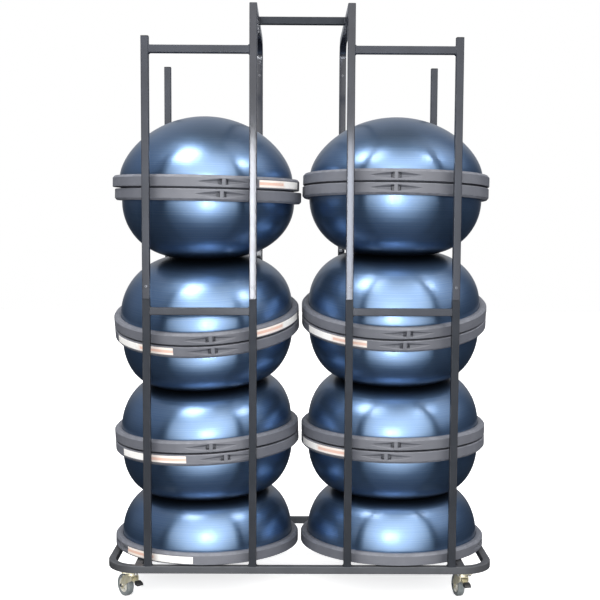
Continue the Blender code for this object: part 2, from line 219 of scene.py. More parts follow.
def dome_vinyl(name):
    """Thick inflated vinyl with a blue pearl in it and fine moulding rings."""
    s = Shader(name)
    arc = s.stored("arc")
    rings = s.bands(arc, 260.0, 3)
    wide = s.bands(arc, 46.0, 1)
    cloud = s.noise(5.0, 3)
    colour = s.mix(s.spread(cloud, 0.3, 0.7), (0.104, 0.192, 0.348), (0.122, 0.215, 0.374))
    colour = s.mix(s.spread(rings, 0.35, 0.7, 0.0, 0.35), colour, (0.19, 0.28, 0.41))
    flake = s.noise(1500.0, 1)
    colour = s.mix(s.spread(flake, 0.55, 0.8, 0.0, 0.3), colour, (0.23, 0.32, 0.47))
    scuff = s.noise(30.0, 6, 0.7, (1.0, 1.0, 6.0))
    dust = s.spread(scuff, 0.58, 0.74, 0.0, 0.16)
    colour = s.mix(dust, colour, (0.24, 0.265, 0.29))
    # painted shade: the vinyl is painted near black around the patch where two domes press on each other, where each
    # shades the other
    press = s.stored("press")
    colour = s.mix(s.spread(press, 0.0, 1.0, 0.0, 0.86), colour, (0.020, 0.026, 0.040))
    roughness = s.maths("ADD", s.spread(rings, 0.3, 0.7, 0.31, 0.37), s.maths("MULTIPLY", dust, 0.5))
    skin = s.bump(s.noise(900.0, 2), 0.05, 0.0004)
    turned = s.bump(rings, 0.28, 0.0006, skin)
    waves = s.bump(wide, 0.10, 0.003, turned)
    return s.finish(
        colour, roughness, waves,
        Metallic=0.93, Specular_Tint=(0.62, 0.60, 0.54, 1.0),
        Coat_Weight=0.9, Coat_Roughness=0.22, Coat_IOR=1.5,
    )


def moulded_plastic(name, dark, light, rough=(0.44, 0.58), grain=0.18):
    """Moulded plastic with a fine leather grain and rubbed edges."""
    s = Shader(name)
    cloud = s.noise(7.0, 4)
    fleck = s.noise(260.0, 2)
    colour = s.mix(s.spread(cloud, 0.3, 0.7), dark, light)
    colour = s.mix(s.spread(fleck, 0.6, 0.8, 0.0, 0.3), colour, tuple(min(1.0, 1.5 * c) for c in light))
    rub = s.maths("MULTIPLY", s.stored("edge"), s.spread(s.noise(45.0, 5), 0.4, 0.65, 0.2, 0.8))
    colour = s.mix(rub, colour, tuple(min(1.0, 1.45 * c) for c in light))
    roughness = s.spread(s.noise(18.0, 5), 0.3, 0.7, *rough)
    pores = s.bump(s.cells(950.0), grain, 0.0005)
    sink = s.bump(s.noise(22.0, 2), 0.12, 0.002, pores)
    return s.finish(colour, roughness, sink, Specular_IOR_Level=0.5)


def zinc_plate(name, pale, deep):
    """Yellow passivated zinc plate, cloudy and a little tarnished."""
    s = Shader(name)
    cloud = s.noise(70.0, 4)
    tint = s.noise(160.0, 2)
    colour = s.mix(s.spread(cloud, 0.3, 0.7), pale, deep)
    colour = s.mix(s.spread(tint, 0.55, 0.75, 0.0, 0.3), colour, (0.55, 0.47, 0.38))
    roughness = s.spread(s.noise(120.0, 4), 0.3, 0.7, 0.32, 0.50)
    press = s.bump(s.noise(380.0, 3), 0.12, 0.0004)
    return s.finish(colour, roughness, press, Metallic=0.55)


def bolt_steel(name, dark, light):
    s = Shader(name)
    colour = s.mix(s.spread(s.noise(300.0, 3), 0.35, 0.7), dark, light)
    roughness = s.spread(s.noise(500.0, 3), 0.3, 0.7, 0.24, 0.42)
    turned = s.bump(s.noise(900.0, 3, 0.6, (1, 1, 6)), 0.10, 0.0003)
    return s.finish(colour, roughness, turned, Metallic=1.0)


def tyre_rubber(name):
    """Grey non-marking rubber with dust pressed into the tread."""
    s = Shader(name)
    colour = s.mix(s.spread(s.noise(60.0, 4), 0.3, 0.7), (0.16, 0.18, 0.185), (0.21, 0.23, 0.235))
    colour = s.mix(s.spread(s.noise(220.0, 5), 0.55, 0.72, 0.0, 0.5), colour, (0.32, 0.32, 0.30))
    roughness = s.spread(s.noise(90.0, 4), 0.3, 0.7, 0.58, 0.78)
    skin = s.bump(s.noise(1300.0, 3), 0.25, 0.0004)
    return s.finish(colour, roughness, skin, Specular_IOR_Level=0.4)


def paper_strip(name):
    """A blank paper strip, cream at one end and whiter at the other, a little soiled."""
    s = Shader(name)
    along = s.stored("along")
    colour = s.mix(s.spread(along, 0.48, 0.53), (0.84, 0.76, 0.70), (0.88, 0.87, 0.84))
    band = s.maths("MULTIPLY", s.spread(along, 0.49, 0.47), s.spread(s.stored("across"), 0.30, 0.36))
    band = s.maths("MULTIPLY", band, s.spread(s.stored("across"), 0.74, 0.68, 0.0, 0.75))
    colour = s.mix(band, colour, (0.72, 0.40, 0.29))
    soil = s.spread(s.noise(55.0, 6, 0.65), 0.45, 0.75, 0.0, 0.45)
    colour = s.mix(soil, colour, (0.66, 0.60, 0.55))
    colour = s.mix(s.maths("MULTIPLY", s.stored("edge"), 0.35), colour, (0.55, 0.50, 0.47))
    roughness = s.spread(s.noise(80.0, 3), 0.3, 0.7, 0.42, 0.62)
    fibre = s.bump(s.noise(700.0, 4), 0.12, 0.0003)
    return s.finish(colour, roughness, fibre)


POWDER_LOW = powder_coat("powder_coat_lower", (0.019, 0.021, 0.025), (0.027, 0.029, 0.034), 0.13, 0.0, 0.30)
POWDER_BASE = powder_coat("powder_coat_base", (0.050, 0.051, 0.054), (0.064, 0.065, 0.069), 0.40, 0.0, 0.30)
POWDER_UP = powder_coat("powder_coat_upper", (0.016, 0.018, 0.025), (0.023, 0.026, 0.036), 0.14, 0.42, 0.27)
POWDER_HOOP = powder_coat("powder_coat_hoop", (0.014, 0.016, 0.024), (0.021, 0.024, 0.034), 0.02, 0.74, 0.12, (0.3, 0.42), 0.03)
VINYL = dome_vinyl("dome_vinyl")
PLASTIC = moulded_plastic("platform_plastic", (0.110, 0.115, 0.134), (0.135, 0.141, 0.162))
ZINC = zinc_plate("zinc_plate", (0.86, 0.82, 0.66), (0.74, 0.68, 0.46))
STEEL = bolt_steel("steel_bolt", (0.50, 0.50, 0.52), (0.68, 0.67, 0.64))
SCREW = bolt_steel("black_screw", (0.085, 0.088, 0.098), (0.15, 0.155, 0.17))
RUBBER = tyre_rubber("wheel_rubber")
HUB = moulded_plastic("wheel_hub_plastic", (0.50, 0.49, 0.44), (0.62, 0.61, 0.55), (0.35, 0.5), 0.08)
BLACK = moulded_plastic("black_plastic", (0.014, 0.014, 0.015), (0.024, 0.024, 0.026), (0.34, 0.5))
PAPER = paper_strip("paper_strip")


# -------------------------------------------------------------------- helpers
class Build:
    """Vertices and faces of one mesh, with named numbers kept on the vertices."""

    def __init__(self):
        self.verts, self.faces, self.kept = [], [], {"edge": []}

    def add(self, verts, faces, **kept):
        base = len(self.verts)
        self.verts += [tuple(v) for v in verts]
        self.faces += [tuple(base + i for i in f) for f in faces]
        for key in set(self.kept) | set(kept):
            have = self.kept.setdefault(key, [0.0] * base)
            have += list(kept.get(key, [0.0] * len(verts)))

    def mesh(self, name):
        mesh = bpy.data.meshes.new(name)
        mesh.from_pydata(self.verts, [], self.faces)
        mesh.validate()
        for key, values in self.kept.items():
            mesh.attributes.new(key, "FLOAT", "POINT").data.foreach_set("value", values)
        bm = bmesh.new()
        bm.from_mesh(mesh)
        bmesh.ops.recalc_face_normals(bm, faces=bm.faces)
        bm.to_mesh(mesh)
        bm.free()
        mesh.update()
        return mesh


def piece(name, mesh, mat, body, nodes=(), matrix=None, sharp=None, weighted=False):
    if matrix is not None:
        mesh = mesh.copy()
        mesh.transform(matrix)
    obj = bpy.data.objects.new(name, mesh)
    bpy.context.scene.collection.objects.link(obj)
    if not mesh.materials:
        mesh.materials.append(mat)
    mesh.polygons.foreach_set("use_smooth", [True] * len(mesh.polygons))
    if sharp:
        mesh.set_sharp_from_angle(angle=math.radians(sharp))
    if weighted:
        even = obj.modifiers.new("normals", "WEIGHTED_NORMAL")
        even.keep_sharp = True
    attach(obj, body)
    if nodes:
        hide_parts(*nodes)
    return obj


def square(half_a, half_b, r, n=4):
    """A rounded square as (a, b, edge) points."""
    out = []
    for k, (sa, sb) in enumerate(((1, 1), (-1, 1), (-1, -1), (1, -1))):
        for i in range(n + 1):
            t = math.radians(90 * k + 90 * i / n)
            out.append((
                sa * (half_a - r) + r * math.cos(t),
                sb * (half_b - r) + r * math.sin(t),
                math.sin(math.pi * i / n),
            ))
    return out


TUBE = square(HALF, HALF, CORNER)


def sweep(build, section, stations, closed=False):
    """Stations are (point, axis a, axis b, shrink)."""
    n = len(section)
    verts, edge, faces = [], [], []
    for point, a, b, shrink in stations:
        k = 1.0 - shrink / HALF
        for u, v, e in section:
            verts.append(Vector(point) + Vector(a) * u * k + Vector(b) * v * k)
            edge.append(max(e, 0.8 if shrink else 0.0))
    m = len(stations)
    for i in range(m if closed else m - 1):
        j = (i + 1) % m
        for k in range(n):
            l = (k + 1) % n
            faces.append((i * n + k, i * n + l, j * n + l, j * n + k))
    if not closed:
        faces.append(tuple(range(n))[::-1])
        faces.append(tuple((m - 1) * n + k for k in range(n)))
    build.add(verts, faces, edge=edge)


def tube(build, p0, p1, a, b, ends=(0.0008, 0.0008)):
    """A straight square tube with eased ends."""
    p0, p1 = Vector(p0), Vector(p1)
    way = (p1 - p0).normalized()
    sweep(build, TUBE, [
        (p0, a, b, ends[0]), (p0 + way * ends[0], a, b, 0.0),
        (p1 - way * ends[1], a, b, 0.0), (p1, a, b, ends[1]),
    ])


def bead(build, p0, p1, up, radius, seed=0.0):
    """A weld bead from p0 to p1, rippled as it was laid down."""
    p0, p1 = Vector(p0), Vector(p1)
    way = (p1 - p0).normalized()
    side = way.cross(Vector(up)).normalized()
    up = side.cross(way)
    length = (p1 - p0).length
    n, m = 8, max(8, int(length / 0.0006))
    verts, faces = [], []
    for i in range(m + 1):
        s = length * i / m
        end = min(1.0, min(s, length - s) / 0.0015 + 0.25) ** 0.5
        ripple = 1.0 + 0.13 * math.sin(2 * math.pi * s / 0.0026 + seed) + 0.05 * math.sin(s * 900 + 3 * seed)
        drift = 0.0002 * math.sin(s * 310 + seed)
        for k in range(n):
            t = 2 * math.pi * k / n
            r = radius * ripple * end
            verts.append(p0 + way * s + side * (r * math.cos(t) + drift) + up * (r * math.sin(t)))
    for i in range(m):
        for k in range(n):
            l = (k + 1) % n
            faces.append((i * n + k, i * n + l, (i + 1) * n + l, (i + 1) * n + k))
    faces += [tuple(range(n))[::-1], tuple(m * n + k for k in range(n))]
    build.add(verts, faces, edge=[0.5] * len(verts))


def weld(build, at, normal, a, b, kinds):
    """Beads round a tube that butts on a face at `at`. Kinds, for +a, -a, +b and
    -b: fillet where the face goes on, groove where it is flush."""
    at, normal, a, b = Vector(at), Vector(normal), Vector(a), Vector(b)
    for k, (out, along) in enumerate(((a, b), (-a, b), (b, a), (-b, a))):
        if kinds[k] == "fillet":
            middle = at + out * (HALF + 0.0004) + normal * 0.0004
            radius, reach = 0.0023, HALF - 0.0012
        else:
            middle = at + out * (HALF - 0.00125)
            radius, reach = 0.00125, HALF - 0.0016
        bead(build, middle - along * reach, middle + along * reach, out, radius, 1.7 * k + at.x * 9 + at.z * 5)


def lathe(build, profile, n, edge=(), keep=()):
    """A profile of (radius, height) turned about Z. Edge: indexes of eased corners."""
    verts, faces, worn, arc = [], [], [], []
    s = 0.0
    rows = []
    for i, (r, z) in enumerate(profile):
        if i:
            s += math.hypot(r - profile[i - 1][0], z - profile[i - 1][1])
        e = 1.0 if i in edge else 0.0
        if r < 1e-6:
            rows.append([len(verts)])
            verts.append((0, 0, z))
            worn.append(e)
            arc.append(s)
        else:
            rows.append(list(range(len(verts), len(verts) + n)))
            for k in range(n):
                t = 2 * math.pi * k / n
                verts.append((r * math.cos(t), r * math.sin(t), z))
                worn.append(e)
                arc.append(s)
    for one, two in zip(rows, rows[1:]):
        for k in range(n):
            l = (k + 1) % n
            if len(one) == 1 and len(two) == 1:
                continue
            if len(one) == 1:
                faces.append((one[0], two[l], two[k]))
            elif len(two) == 1:
                faces.append((one[k], one[l], two[0]))
            else:
                faces.append((one[k], one[l], two[l], two[k]))
    build.add(verts, faces, edge=worn, arc=arc)


def outline_prism(outline, low, high, ease, to_world, segments=2):
    """A flat outline between two heights, all its edges eased."""
    bm = bmesh.new()
    under = [bm.verts.new((x, y, low)) for x, y in outline]
    over = [bm.verts.new((x, y, high)) for x, y in outline]
    bm.faces.new(under[::-1])
    bm.faces.new(over)
    n = len(outline)
    for i in range(n):
        j = (i + 1) % n
        bm.faces.new((under[i], under[j], over[j], over[i]))
    bm.normal_update()
    hard = [e for e in bm.edges if e.calc_face_angle(0.0) > math.radians(35)]
    if ease:
        bmesh.ops.bevel(bm, geom=hard, offset=ease, segments=segments, profile=0.5,
                        affect="EDGES", clamp_overlap=True)
    bm.transform(to_world)
    bmesh.ops.recalc_face_normals(bm, faces=bm.faces)
    verts = [v.co.copy() for v in bm.verts]
    faces = [[v.index for v in f.verts] for f in bm.faces]
    bm.verts.index_update()
    faces = [[v.index for v in f.verts] for f in bm.faces]
    bm.free()
    return verts, faces


def arc(cx, cy, r, start, end, n=8):
    return [
        (cx + r * math.cos(math.radians(start + (end - start) * i / n)),
         cy + r * math.sin(math.radians(start + (end - start) * i / n)))
        for i in range(n + 1)
    ]


def rounded(hx, hy, r, n=6):
    return (
        arc(hx - r, hy - r, r, 0, 90, n) + arc(-hx + r, hy - r, r, 90, 180, n)
        + arc(-hx + r, -hy + r, r, 180, 270, n) + arc(hx - r, -hy + r, r, 270, 360, n)
    )


X, Y, Z = Vector((1, 0, 0)), Vector((0, 1, 0)), Vector((0, 0, 1))
FLIP = Matrix.Rotation(math.pi, 3, "X")


# ----------------------------------------------------------------- base frame
def base_ring():
    build = Build()
    cx, cy, r = RING_X - T / 2, DEPTH / 2 - T / 2, RING_R - T / 2
    z = (RING_Z0 + RING_Z1) / 2
    stations = []
    for qx, qy, start in ((1, 1, 0), (-1, 1, 90), (-1, -1, 180), (1, -1, 270)):
        for i in range(17):
            t = math.radians(start + 90 * i / 16)
            out = Vector((math.cos(t), math.sin(t), 0))
            at = Vector((qx * (cx - r), qy * (cy - r), z)) + out * r
            stations.append((at, out, Z, 0.0))
    sweep(build, TUBE, stations, closed=True)
    for s in (-1, 1):
        end = YB - T + IN
        tube(build, (s * CROSS_X, -end, z), (s * CROSS_X, end, z), X, Z, (0.0001, 0.0001))
    return build.mesh("base_ring")


piece("base_frame_tubes", base_ring(), POWDER_BASE, "rack",
      ["base_frame"], weighted=True)

# drains under the back rail
build = Build()
for x in (-0.30, 0.30):
    part = Build()
    lathe(part, [(0.0, 0.0002), (0.0030, 0.0002), (0.0036, 0.0), (0.0042, 0.0001), (0.0044, 0.0003)], 20)
    build.add([(vx + x, vy + YB - T / 2, RING_Z0 + IN - 0.0001 - vz * 0) for vx, vy, vz in part.verts], part.faces)
piece("base_drains", build.mesh("drains"), BLACK, "rack")

# ------------------------------------------------------------ posts and rails
FOOT = RING_Z1 - IN
beads_low, beads_up, screws = Build(), Build(), Build()


def screw_head(build, at, normal, r=0.0042, proud=0.00022):
    """A flush socket screw: an eased disc with a six-sided socket."""
    at, normal = Vector(at), Vector(normal)
    turn = normal.to_track_quat("Z", "Y").to_matrix()
    rings = [(r, -0.0008, 28), (r, proud * 0.5, 28), (r * 0.9, proud, 28), (r * 0.52, proud, 28), (r * 0.5, -0.0012, 28)]
    verts, faces = [], []
    for i, (rr, z, n) in enumerate(rings):
        for k in range(n):
            t = 2 * math.pi * k / n
            q = rr
            if i >= 3:                                # the socket's six flats
                q = rr * math.cos(math.pi / 6) / math.cos((t % (math.pi / 3)) - math.pi / 6)
            verts.append(at + turn @ Vector((q * math.cos(t), q * math.sin(t), z)))
    for i in range(len(rings) - 1):
        for k in range(28):
            l = (k + 1) % 28
            faces.append((i * 28 + k, i * 28 + l, (i + 1) * 28 + l, (i + 1) * 28 + k))
    faces.append(tuple(4 * 28 + k for k in range(28)))
    build.add(verts, faces, edge=[1.0 if i // 28 == 2 else 0.0 for i in range(len(verts))])


for side, s in (("left", -1), ("right", 1)):
    xo, xi = s * (POST_X - T / 2), s * (HOOP_X + T / 2)
    yf, yb = YF + T / 2, YB - T / 2
    inward = Vector((-s, 0, 0))

    build = Build()
    for x in (xo, xi):
        tube(build, (x, yf, FOOT), (x, yf, SPLICE_Z - GAP / 2), X, Y, (0.0001, 0.0009))
        weld(beads_low, (x, yf, RING_Z1 - IN * 0.5), Z, X, Y, ("fillet", "fillet", "groove", "groove"))
    zm = MIDBAR_Z + T / 2
    crossbar = Build()
    tube(crossbar, (xo - s * (T / 2 - IN), yf, zm), (xi + s * (T / 2 - IN), yf, zm), Y, Z, (0.0001, 0.0001))
    weld(beads_low, (xo - s * T / 2, yf, zm), inward, Y, Z, ("groove", "groove", "fillet", "fillet"))
    weld(beads_low, (xi + s * T / 2, yf, zm), -inward, Y, Z, ("groove", "groove", "fillet", "fillet"))
    piece(f"lower_front_frame_{side}", build.mesh("lower_front"), POWDER_LOW, "rack",
          [f"lower_frame_front_{side}"], weighted=True)
    piece(f"middle_crossbar_{side}", crossbar.mesh("crossbar"), POWDER_UP, "rack", weighted=True)

    for place, x in (("outer", xo), ("inner", xi)):
        build = Build()
        tube(build, (x, yb, FOOT), (x, yb, SPLICE_Z - GAP / 2), X, Y, (0.0001, 0.0009))
        weld(beads_low, (x, yb, RING_Z1 - IN * 0.5), Z, X, Y, ("fillet", "fillet", "groove", "groove"))
        piece(f"lower_back_post_{side}_{place}", build.mesh("lower_back"), POWDER_LOW, "rack",
              [f"lower_post_back_{side}_{place}"], weighted=True)

    build = Build()
    tube(build, (xo, yf, SPLICE_Z + GAP / 2), (xo, yf, POST_TOP - CAP_T), X, Y, (0.0009, 0.0004))
    zt = TOPBAR_Z + T / 2
    tube(build, (xo - s * (T / 2 - IN), yf, zt), (xi + s * (T / 2 - IN), yf, zt), Y, Z, (0.0001, 0.0004))
    weld(beads_up, (xo - s * T / 2, yf, zt), inward, Y, Z, ("groove", "groove", "fillet", "fillet"))
    weld(beads_up, (xi + s * T / 2, yf, zt), -inward, Y, Z, ("groove", "groove", "fillet", "fillet"))
    piece(f"upper_front_frame_{side}", build.mesh("upper_front"), POWDER_UP, "rack",
          [f"upper_frame_front_{side}"], weighted=True)

    build = Build()
    tube(build, (xo, yb, SPLICE_Z + GAP / 2), (xo, yb, POST_TOP - CAP_T), X, Y, (0.0009, 0.0004))
    piece(f"upper_back_post_{side}", build.mesh("upper_back"), POWDER_UP, "rack",
          [f"upper_post_back_{side}"], weighted=True)

    # hoop: up the front, mitred to the top run, bent down into the back leg
    build = Build()
    r = HOOP_R - T / 2
    zc, top = HOOP_TOP - T / 2 - r, HOOP_TOP - T / 2
    stations = [((xi, yf, SPLICE_Z + GAP / 2), X, -Y, 0.0009), ((xi, yf, SPLICE_Z + GAP / 2 + 0.0009), X, -Y, 0.0)]
    stations.append(((xi, yf, top - T / 2 - 0.001), X, -Y, 0.0))
    stations.append(((xi, yf, top), X, Z - Y, 0.0))
    stations.append(((xi, yf + T / 2 + 0.001, top), X, Z, 0.0))
    for i in range(19):
        t = math.radians(90 - 90 * i / 18)
        out = Vector((0, math.cos(t), math.sin(t)))
        stations.append((Vector((xi, yb - r, zc)) + out * r, X, out, 0.0))
    stations += [((xi, yb, SPLICE_Z + GAP / 2 + 0.0009), X, Y, 0.0), ((xi, yb, SPLICE_Z + GAP / 2), X, Y, 0.0009)]
    sweep(build, TUBE, stations)
    piece(f"hoop_tube_{side}", build.mesh("hoop"), POWDER_HOOP, "rack",
          [f"hoop_{side}"], sharp=50, weighted=True)
    weld(beads_up, (s * HOOP_X, TIE_Y + T / 2, HOOP_TOP - T / 2), inward, Y, Z,
         ("fillet", "fillet", "groove", "groove"))

    # the cross tubes' ends in the ring
    for e in (-1, 1):
        weld(beads_low, (s * CROSS_X, e * (YB - T), (RING_Z0 + RING_Z1) / 2), (0, -e, 0), X, Z,
             ("fillet", "fillet", "groove", "groove"))

    # splice screws, front and back, and the two in each hoop's back leg
    for x in (xo, xi):
        screw_head(screws, (x, YF + IN, BOLT_Z), (0, -1, 0))
        screw_head(screws, (x, YB - IN, BOLT_Z), (0, 1, 0))
    screw_head(screws, (xi, YB - T - 0.0006, 1.8905), (0, -1, 0.2), 0.0043, 0.0012)
    screw_head(screws, (xi, YB - T + IN, 1.8200), (0, -1, 0), 0.0043, 0.0006)

build = Build()
tie = HOOP_X + IN
zt = HOOP_TOP - T / 2
tube(build, (-tie, TIE_Y + T / 2, zt), (tie, TIE_Y + T / 2, zt), Y, Z, (0.0001, 0.0001))
piece("tie_bar_tube", build.mesh("tie_bar"), POWDER_LOW, "rack",
      ["top_tie_bar"], weighted=True)
piece("weld_beads_lower", beads_low.mesh("beads"), POWDER_LOW, "rack")
piece("weld_beads_upper", beads_up.mesh("beads"), POWDER_UP, "rack")
piece("frame_screws", screws.mesh("screws"), SCREW, "rack", sharp=30)

# end caps of the four outer posts
for side, s in (("left", -1), ("right", 1)):
    for place, y in (("front", YF + T / 2), ("back", YB - T / 2)):
        build = Build()
        x, z0 = s * (POST_X - T / 2), POST_TOP - CAP_T
        stations = [((x, y, z0 - 0.004), X, Y, 0.0030), ((x, y, z0 + 0.0001), X, Y, 0.0030),
                    ((x, y, z0 + 0.0001), X, Y, 0.0002), ((x, y, z0 + 0.0018), X, Y, 0.0)]
        for k in range(1, 6):
            t = k / 5 * math.pi / 2
            stations.append(((x, y, z0 + 0.0018 + 0.0012 * math.sin(t)), X, Y, 0.0030 * (1 - math.cos(t))))
        stations.append(((x, y, z0 + CAP_T - 0.0001), X, Y, 0.0075))
        sweep(build, TUBE, stations)
        piece(f"post_cap_{place}_{side}", build.mesh("cap"), BLACK, "rack", weighted=True)


# --------------------------------------------------------------------- casters
def hexagon(r, turn=0.0):
    return [(r * math.cos(math.radians(60 * k + turn)), r * math.sin(math.radians(60 * k + turn))) for k in range(6)]


def plate_mesh():
    build = Build()
    top = RING_Z0 - 0.0003
    build.add(*outline_prism(rounded(0.0273, 0.0478, 0.006), top - 0.0029, top, 0.0006, Matrix.Identity(4)))
    # raised seat for the upper ball race, and the race
    lathe(build, [(0.0, top - 0.0028), (0.0215, top - 0.0028), (0.0212, top - 0.0042), (0.0196, top - 0.0052),
                  (0.0189, top - 0.0060), (0.0186, 0.0915), (0.0178, 0.0903), (0.0120, 0.0902), (0.0, 0.0902)], 48, (2, 6))
    return build.mesh("caster_plate")


def plate_bolts_mesh():
    build = Build()
    top = RING_Z0 - 0.0003 - 0.0029
    for x, y in ((-0.0195, -0.0385), (0.0195, -0.0385), (-0.0195, 0.0385), (0.0195, 0.0385)):
        here = Matrix.Translation((x, y, 0))
        part = Build()
        lathe(part, [(0.0, top), (0.0068, top), (0.0068, top - 0.0009), (0.0064, top - 0.0012), (0.0, top - 0.0012)], 28, (3,))
        build.add([here @ Vector(v) for v in part.verts], part.faces, edge=part.kept["edge"])
        build.add(*outline_prism(hexagon(0.0058, 20 * x / abs(x) + 7 * y / abs(y)), top - 0.0058, top - 0.0011, 0.0005, here))
        part = Build()
        lathe(part, [(0.0, top - 0.0085), (0.0024, top - 0.0085), (0.0030, top - 0.0079), (0.0030, top - 0.0050), (0.0, top - 0.0050)], 20, (2,))
        build.add([here @ Vector(v) for v in part.verts], part.faces, edge=part.kept["edge"])
    # kingpin and its nut, under the crown of the fork
    lathe(build, [(0.0, 0.0905), (0.0058, 0.0905), (0.0058, 0.0782), (0.0, 0.0782)], 24)
    build.add(*outline_prism(hexagon(0.0083, 12), 0.0766, 0.0783, 0.0004, Matrix.Identity(4)))
    return build.mesh("caster_bolts")


FORK_IN, FORK_OUT = 0.0132, 0.0157
# an outline's x and y go to the fork's X and Z, its height across the wheel
SIDEWAYS = Matrix(((1, 0, 0, 0), (0, 0, -1, 0), (0, 1, 0, 0), (0, 0, 0, 1)))


def fork_mesh(braked):
    build = Build()
    cheek = (
        arc(0.0170, 0.0772, 0.0036, 0, 90, 4)
        + arc(-0.0262, 0.0772, 0.0036, 90, 165, 4)
        + arc(-TRAIL, WHEEL_R, 0.0113, 170, 325, 12)
        + [(-0.0200, 0.0440), (-0.0060, 0.0522), (0.0120, 0.0604)]
        + arc(0.0170, 0.0672, 0.0036, -60, 0, 3)
    )
    for f in (-1, 1):
        low, high = sorted((f * FORK_IN, f * FORK_OUT))
        build.add(*outline_prism(cheek, low, high, 0.0007, SIDEWAYS))
    crown = rounded(0.0250, FORK_OUT, 0.0040)
    build.add(*outline_prism([(x - 0.0045, y) for x, y in crown], 0.0786, 0.0809, 0.0007, Matrix.Identity(4)))
    # folded shoulders between the crown and the cheeks
    for f in (-1, 1):
        sweep(build, square(0.0011, 0.0011, 0.0008, 3), [
            ((-0.0270, f * 0.01435, 0.0795), Y * f, Z, 0.0), ((0.0180, f * 0.01435, 0.0795), Y * f, Z, 0.0)])
    # lower ball race and dust lip
    lathe(build, [(0.0066, 0.0805), (0.0206, 0.0805), (0.0209, 0.0820), (0.0207, 0.0850), (0.0198, 0.0862), (0.0196, 0.0884),
                  (0.0190, 0.0895), (0.0180, 0.0897), (0.0110, 0.0892), (0.0066, 0.0892)], 48, (2, 6))
    if braked:
        for f in (-1, 1):
            part = Build()
            lathe(part, [(0.0, 0.0), (0.0030, 0.0), (0.0034, -0.0004), (0.0034, -0.0016), (0.0, -0.0016)], 20, (2,))
            place = Matrix.Translation((PIVOT[0], -f * (FORK_OUT + 0.0001), PIVOT[1])) @ Matrix.Rotation(f * math.pi / 2, 4, "X")
            build.add([place @ Vector(v) for v in part.verts], part.faces, edge=part.kept["edge"])
    return build.mesh("caster_fork")


def axle_mesh():
    build = Build()
    place = Matrix.Rotation(math.pi / 2, 4, "X")
    build.add(*outline_prism(hexagon(0.0066, 10), 0.0163, 0.0195, 0.0005, place))
    build.add(*outline_prism(hexagon(0.0066, 34), -0.0192, -0.0163, 0.0005, place))
    for part_profile in (
        [(0.0, 0.0165), (0.0067, 0.0165), (0.0067, 0.0159), (0.0044, 0.0159), (0.0044, -0.0159), (0.0067, -0.0159), (0.0067, -0.0165), (0.0, -0.0165)],
        [(0.0, -0.0197), (0.0022, -0.0197), (0.0027, -0.0192), (0.0027, -0.0180), (0.0, -0.0180)],
    ):
        part = Build()
        lathe(part, part_profile, 24)
        build.add([place @ Vector(v) for v in part.verts], part.faces)
    return build.mesh("caster_axle")


def tyre_mesh():
    """The rubber tyre, its rounded tread and two moulded side grooves."""
    build = Build()
    half = [(0.0240, 0.0094), (0.0262, 0.0103), (0.0272, 0.0098), (0.0282, 0.0104), (0.0315, 0.0113),
            (0.0340, 0.0111), (0.0358, 0.0101), (0.0370, 0.0082), (0.0375, 0.0055), (0.0375, 0.0018), (0.0372, 0.0)]
    profile = half + [(r, -z) for r, z in half[-2::-1]]
    lathe(build, profile + [(0.0240, 0.0094)], 96, (6, 7, 13, 14))
    mesh = build.mesh("caster_tyre")
    mesh.transform(Matrix.Rotation(math.pi / 2, 4, "X"))
    return mesh


def hub_mesh():
    """The wheel's centre: bore, dished web with six ribs, and a flange at the tyre."""
    build = Build()
    for f in (1, -1):
        profile = [(0.0050, f * 0.0123), (0.0105, f * 0.0123), (0.0116, f * 0.0118), (0.0121, f * 0.0085), (0.0135, f * 0.0060),
                   (0.0205, f * 0.0060), (0.0222, f * 0.0080), (0.0228, f * 0.0096), (0.0244, f * 0.0097)]
        lathe(build, profile, 64, (1, 7))
        for k in range(6):
            t = 2 * math.pi * k / 6 + 0.3
            out, along = Vector((math.cos(t), math.sin(t), 0)), Vector((-math.sin(t), math.cos(t), 0))
            sweep(build, square(0.0009, 0.0016, 0.0005, 2), [
                (out * 0.0118 + Z * f * 0.0072, along, Z, 0.0), (out * 0.0225 + Z * f * 0.0072, along, Z, 0.0)])
    lathe(build, [(0.0050, 0.0123), (0.0050, -0.0123)], 32)
    mesh = build.mesh("caster_hub")
    mesh.transform(Matrix.Rotation(math.pi / 2, 4, "X"))
    return mesh


def pedal_arm_mesh():
    """The brake's plated arm: an eye around the pivot and a pressed lever."""
    build = Build()
    px, pz = PIVOT
    lever = (
        arc(px, pz, 0.0055, 95, 250, 10)
        + [(0.0230, 0.0622), (0.0310, 0.0598), (0.0430, 0.0582), (0.0430, 0.0640), (0.0310, 0.0682), (0.0240, 0.0712)]
    )
    build.add(*outline_prism([(x - px, z - pz) for x, z in lever], -0.0086, 0.0086, 0.0008, SIDEWAYS))
    # a stiffening rib pressed along its middle
    sweep(build, square(0.0016, 0.0010, 0.0008, 3), [
        ((0.0240 - px, 0.0, 0.0710 - pz), Y, Z, 0.0), ((0.0310 - px, 0.0, 0.0686 - pz), Y, Z, 0.0),
        ((0.0400 - px, 0.0, 0.0657 - pz), Y, Z, 0.0)])
    return build.mesh("brake_arm")


